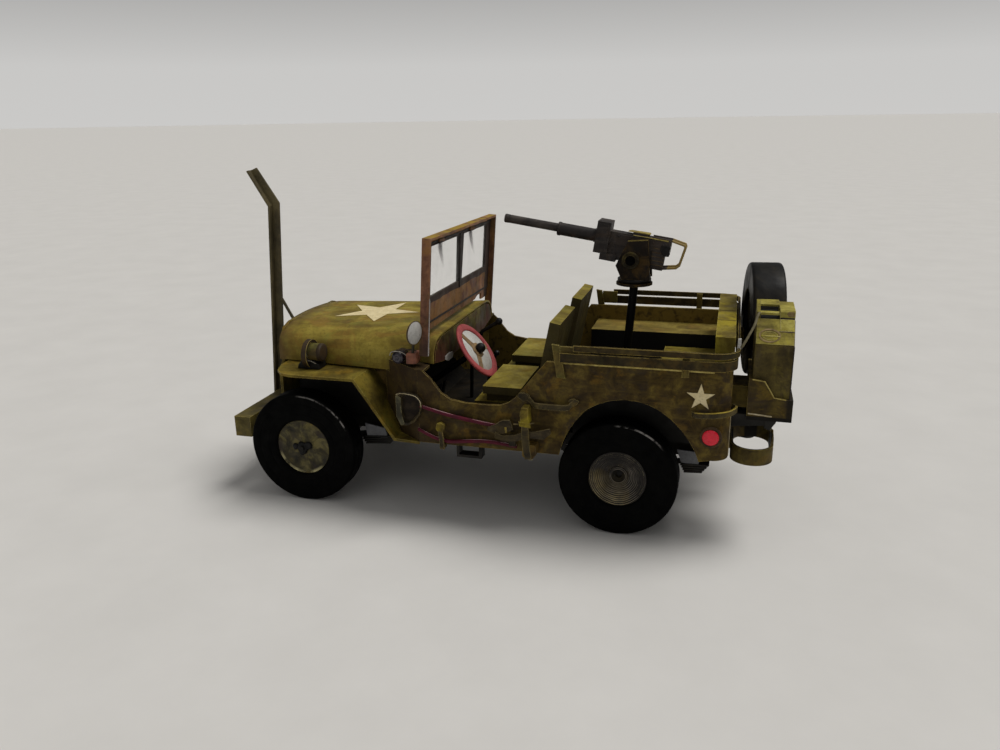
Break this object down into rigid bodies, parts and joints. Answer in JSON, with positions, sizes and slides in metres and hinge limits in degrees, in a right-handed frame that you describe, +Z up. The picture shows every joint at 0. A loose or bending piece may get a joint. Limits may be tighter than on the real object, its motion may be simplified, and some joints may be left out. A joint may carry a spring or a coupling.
{
  "type": "open 4x4 army utility car card model",
  "caption": "Hand-made card scale model of a small open army utility car: rolling wheels, folded body, stowed top bows, spare wheel, fuel can and an inert pivoting miniature gun.",
  "frame": {"origin": "bottom centre of the whole model, on the ground under the four tyres", "axes": "+X towards the front bumper, +Y towards the car's left side, +Z up"},
  "size_m": [0.1494, 0.0694, 0.0875],
  "materials": {
    "tyre_card": "matt black painted rolled card",
    "rim_card": "matt olive-grey painted card",
    "body_card": "matt olive-brown painted card, mottled",
    "bonnet_card": "matt yellow-olive dry-brushed card",
    "inner_card": "matt pale olive painted card",
    "screen_card": "matt brown painted card",
    "bow_card": "matt yellow-olive card strip",
    "can_card": "matt olive painted card",
    "chassis_card": "matt dark olive painted card",
    "glass": "clear film",
    "mirror_card": "painted card disc",
    "lamp_card": "matt olive painted card",
    "wheel_card": "matt brick-pink printed card",
    "control_wire": "black coated wire",
    "tool_card": "matt painted card, pink handles",
    "reflector_card": "red painted card disc",
    "gun_card": "matt dark grey-brown painted card",
    "cradle_card": "matt olive-brown painted card",
    "post_card": "matt black painted rod"
  },
  "bodies": {
    "car": {"axe": "tool_card", "axle_front": "chassis_card", "axle_rear": "chassis_card", "body_handles": "body_card", "body_side_left": "body_card", "body_side_right": "body_card", "bonnet": "bonnet_card", "bow_sockets": "body_card", "bulkhead": "body_card", "bumperettes": "body_card", "controls": "control_wire", "cowl": "bonnet_card", "dashboard": "screen_card", "drive_lamp": "lamp_card", "drive_shafts": "chassis_card", "engine_block": "chassis_card", "exhaust": "chassis_card", "fender_left": "bonnet_card", "fender_right": "bonnet_card", "floor": "inner_card", "frame_rails": "chassis_card", "front_bumper": "body_card", "fuel_can": "can_card", "grille": "body_card", "grille_lamps": "lamp_card", "gun_post": "post_card", "knuckles": "chassis_card", "leaf_springs": "chassis_card", "radiator": "chassis_card", "rear_carriers": "body_card", "rear_seat": "inner_card", "reflectors": "reflector_card", "seat_driver": "inner_card", "seat_passenger": "inner_card", "shovel": "tool_card", "side_mirror": "mirror_card", "sill_strap": "body_card", "spare_rim": "rim_card", "spare_tyre": "tyre_card", "steering_wheel": "wheel_card", "tail_panel": "body_card", "tool_clamps": "bonnet_card", "top_bows": "bow_card", "tow_hook": "chassis_card", "wheel_boxes": "inner_card", "windscreen_frame": "screen_card", "windscreen_glass": "glass", "wire_cutter": "body_card"},
    "wheel_front_left": {"tyre_front_left": "tyre_card", "rim_front_left": "rim_card"},
    "wheel_front_right": {"tyre_front_right": "tyre_card", "rim_front_right": "rim_card"},
    "wheel_rear_left": {"tyre_rear_left": "tyre_card", "rim_rear_left": "rim_card"},
    "wheel_rear_right": {"tyre_rear_right": "tyre_card", "rim_rear_right": "rim_card"},
    "gun_mount": {"gun_cradle": "cradle_card"},
    "gun": {"gun": "gun_card"}
  },
  "joints": [
    {"name": "wheel_front_left", "type": "hinge", "parent": "car", "child": "wheel_front_left", "pos_m": [0.04973, 0.02598, 0.0154], "axis": [0, 1, 0], "continuous": true},
    {"name": "wheel_front_right", "type": "hinge", "parent": "car", "child": "wheel_front_right", "pos_m": [0.04973, -0.02693, 0.0154], "axis": [0, 1, 0], "continuous": true},
    {"name": "wheel_rear_left", "type": "hinge", "parent": "car", "child": "wheel_rear_left", "pos_m": [-0.03547, 0.02527, 0.0148], "axis": [0, 1, 0], "continuous": true},
    {"name": "wheel_rear_right", "type": "hinge", "parent": "car", "child": "wheel_rear_right", "pos_m": [-0.03547, -0.02622, 0.0148], "axis": [0, 1, 0], "continuous": true},
    {"name": "gun_yaw", "type": "hinge", "parent": "car", "child": "gun_mount", "pos_m": [-0.03487, -0.00047, 0.0585], "axis": [0, 0, 1], "continuous": true},
    {"name": "gun_pitch", "type": "hinge", "parent": "gun_mount", "child": "gun", "pos_m": [-0.03407, -0.00047, 0.0646], "axis": [0, -1, 0], "range_deg": [-14, 14]}
  ]
}
